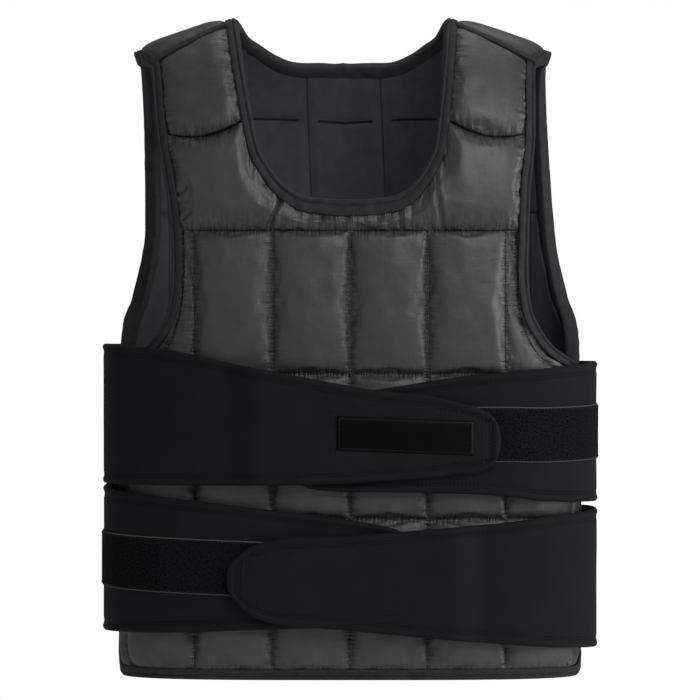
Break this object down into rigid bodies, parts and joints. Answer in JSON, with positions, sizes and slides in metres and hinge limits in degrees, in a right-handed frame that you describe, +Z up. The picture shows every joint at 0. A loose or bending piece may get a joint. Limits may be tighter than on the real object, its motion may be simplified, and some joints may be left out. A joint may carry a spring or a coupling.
{
  "type": "weighted vest",
  "caption": "Quilted weighted training vest with bound edges, scoop neck and wrap-over hook and loop waist belts, in its worn shape.",
  "frame": {"origin": "the shoulder rest: on the centre line between the two shoulder straps, at the height where the wearer's shoulders carry them", "axes": "+Z up the worn vest, +X to the right of someone facing its chest, the chest faces -Y"},
  "size_m": [0.4576, 0.2406, 0.6035],
  "materials": {
    "shell_nylon": "woven nylon, slightly lustrous",
    "lining_knit": "matte knit over thin foam",
    "edge_tape": "folded woven tape",
    "belt_foam": "knit-faced foam rubber, matte",
    "loop_pile": "brushed loop pile",
    "hook_tape": "hook tape",
    "label_satin": "smooth satin weave, bare"
  },
  "bodies": {
    "root": {"front_panel": "shell_nylon", "front_chest": "shell_nylon", "front_shoulder_left": "shell_nylon", "front_shoulder_right": "shell_nylon", "back_panel": "shell_nylon", "back_yoke": "shell_nylon", "back_lining_upper": "lining_knit", "back_lining_lower": "lining_knit", "neck_binding": "edge_tape", "front_edge_binding": "edge_tape", "back_edge_binding": "edge_tape", "shoulder_seam_left": "edge_tape", "shoulder_seam_right": "edge_tape", "upper_under_wing": "belt_foam", "lower_under_wing": "belt_foam", "upper_over_wing": "belt_foam", "lower_over_wing": "belt_foam", "upper_loop_strip": "loop_pile", "lower_loop_strip": "loop_pile", "upper_hook_patch": "hook_tape", "lower_hook_patch": "hook_tape", "label_patch": "label_satin"}
  },
  "joints": []
}
